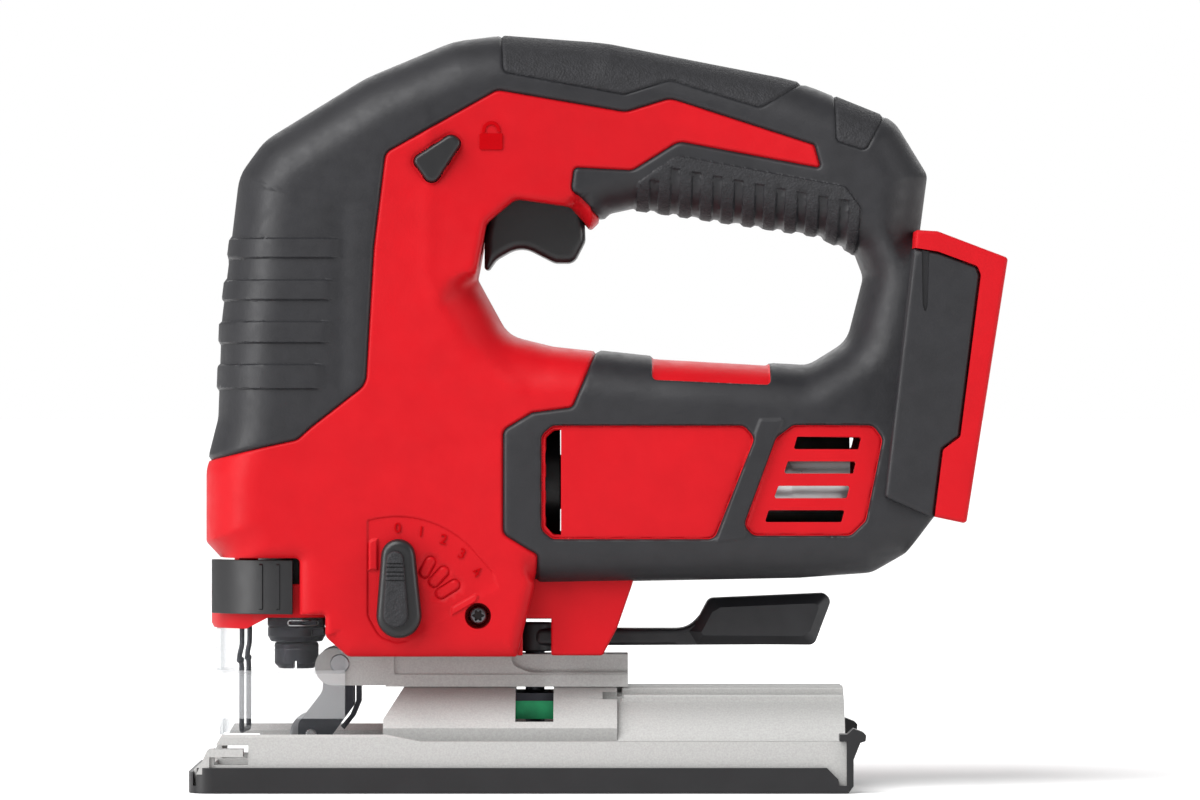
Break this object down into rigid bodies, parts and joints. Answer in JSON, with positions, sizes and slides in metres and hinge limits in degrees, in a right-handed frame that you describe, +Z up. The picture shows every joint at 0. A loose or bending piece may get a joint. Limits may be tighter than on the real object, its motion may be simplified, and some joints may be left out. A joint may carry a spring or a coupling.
{
  "type": "cordless jigsaw",
  "caption": "Top-handle cordless jigsaw without battery or blade: tilting cast shoe, reciprocating plunger with blade clamp, orbital roller, trigger and lock button.",
  "frame": {"origin": "middle of the tool's length and width, on the plane of the shoe's sole", "axes": "+X towards the battery end, blade end at -X; +Y to the tool's right side; +Z up, along the blade's stroke"},
  "size_m": [0.2517, 0.082, 0.2338],
  "materials": {
    "housing_red": "satin moulded nylon, fine grain",
    "overmold_black": "soft matt overmould, fine grain",
    "plastic_black": "moulded black nylon",
    "lever_black": "glass-filled nylon",
    "cast_aluminium": "pressure-cast and tumbled",
    "bright_steel": "ground",
    "gear_steel": "hobbed and oiled",
    "dark_steel": "blackened",
    "screw_steel": "black zinc",
    "zinc_steel": "zinc plated",
    "steel_plate": "stamped",
    "lamination_steel": "stacked laminations, varnished",
    "copper_wire": "enamelled copper",
    "bronze": "sintered bronze",
    "magnet_grey": "sintered ferrite",
    "carbon": "carbon",
    "board_green": "solder mask",
    "nut_green": "green passivated",
    "lead_red": "insulated copper lead",
    "clear_plastic": "clear polycarbonate"
  },
  "bodies": {
    "shoe": {"shoe": "cast_aluminium", "shoe_cover": "plastic_black"},
    "tool": {"left_housing": "housing_red", "right_housing": "housing_red", "left_overmold": "overmold_black", "right_overmold": "overmold_black", "housing_screws": "screw_steel", "gear_case": "cast_aluminium", "gear_case_plate": "steel_plate", "gear_case_screws": "screw_steel", "saddle": "cast_aluminium", "saddle_screws": "screw_steel", "arm_pivot_pin": "bright_steel", "upper_bush": "bronze", "lower_bush": "bronze", "gear_axle": "bright_steel", "motor_can": "zinc_steel", "motor_magnets": "magnet_grey", "motor_end_cap": "zinc_steel", "brush_holders": "bronze", "brushes": "carbon", "front_bearing": "bright_steel", "rear_bearing": "bright_steel", "switch_body": "plastic_black", "control_board": "board_green", "terminal_block": "plastic_black", "terminal_blades": "bronze", "work_light_lens": "clear_plastic", "work_light_board": "board_green", "wire_guard": "dark_steel", "bevel_nut": "nut_green", "bevel_washer": "dark_steel", "battery_leads": "lead_red", "dust_shield": "clear_plastic"},
    "armature": {"armature_shaft": "bright_steel", "armature_core": "lamination_steel", "armature_windings": "copper_wire", "commutator": "copper_wire", "fan": "plastic_black", "pinion": "bright_steel"},
    "gear": {"main_gear": "gear_steel", "gear_bush": "bronze", "crank_pin": "bright_steel"},
    "plunger": {"plunger_rod": "bright_steel", "yoke": "gear_steel", "clamp_body": "dark_steel"},
    "clamp_collar": {"clamp_collar": "dark_steel"},
    "counterweight": {"counterweight": "gear_steel"},
    "roller_arm": {"roller_arm": "dark_steel", "roller_pin": "bright_steel"},
    "guide_roller": {"guide_roller": "bright_steel"},
    "release_lever": {"release_lever": "plastic_black"},
    "orbit_selector": {"selector_lever": "plastic_black", "selector_shaft": "plastic_black"},
    "bevel_lever": {"bevel_lever": "lever_black", "bevel_screw": "dark_steel"},
    "trigger": {"trigger": "plastic_black"},
    "lock_button": {"lock_button": "plastic_black"}
  },
  "joints": [
    {"name": "bevel_tilt", "type": "hinge", "parent": "shoe", "child": "tool", "pos_m": [0, 0, 0], "axis": [1, 0, 0], "range_deg": [-45, 45]},
    {"name": "motor_spin", "type": "hinge", "parent": "tool", "child": "armature", "pos_m": [0.03, 0, 0.095], "axis": [1, 0, 0], "continuous": true},
    {"name": "gear_spin", "type": "hinge", "parent": "tool", "child": "gear", "pos_m": [-0.0655, 0, 0.122], "axis": [1, 0, 0], "continuous": true},
    {"name": "plunger_stroke", "type": "slide", "parent": "tool", "child": "plunger", "axis": [0, 0, 1], "range_m": [-0.003, 0.0224]},
    {"name": "counterweight_stroke", "type": "slide", "parent": "tool", "child": "counterweight", "axis": [0, 0, 1], "range_m": [-0.0224, 0.003]},
    {"name": "collar_turn", "type": "hinge", "parent": "plunger", "child": "clamp_collar", "pos_m": [-0.0942, 0, 0.049], "axis": [0, 0, 1], "range_deg": [-60, 0]},
    {"name": "release_lever_turn", "type": "hinge", "parent": "tool", "child": "release_lever", "pos_m": [-0.0942, 0, 0.066], "axis": [0, 0, 1], "range_deg": [-60, 0], "stiffness_Nm_per_rad": 0.05, "springref_deg": 11.46},
    {"name": "roller_arm_swing", "type": "hinge", "parent": "tool", "child": "roller_arm", "pos_m": [-0.0803, 0, 0.0386], "axis": [0, 1, 0], "range_deg": [0, 6]},
    {"name": "roller_spin", "type": "hinge", "parent": "roller_arm", "child": "guide_roller", "pos_m": [-0.0894, 0, 0.0165], "axis": [0, 1, 0], "continuous": true},
    {"name": "orbit_selector_turn", "type": "hinge", "parent": "tool", "child": "orbit_selector", "pos_m": [-0.0615, -0.036, 0.0543], "axis": [0, 1, 0], "range_deg": [0, 58]},
    {"name": "bevel_lever_swing", "type": "hinge", "parent": "tool", "child": "bevel_lever", "pos_m": [-0.0197, 0, 0.047], "axis": [0, 0, 1], "range_deg": [0, 55]},
    {"name": "trigger_travel", "type": "slide", "parent": "tool", "child": "trigger", "axis": [0, 0, 1], "range_m": [0, 0.006], "stiffness_N_per_m": 900, "springref_m": -0.001},
    {"name": "lock_button_travel", "type": "slide", "parent": "tool", "child": "lock_button", "axis": [0, 1, 0], "range_m": [0, 0.004]}
  ],
  "couplings": [
    {"joint": "gear_spin", "follows": "motor_spin", "ratio": -0.2},
    {"joint": "counterweight_stroke", "follows": "plunger_stroke", "ratio": -1},
    {"joint": "collar_turn", "follows": "release_lever_turn", "ratio": 1}
  ]
}
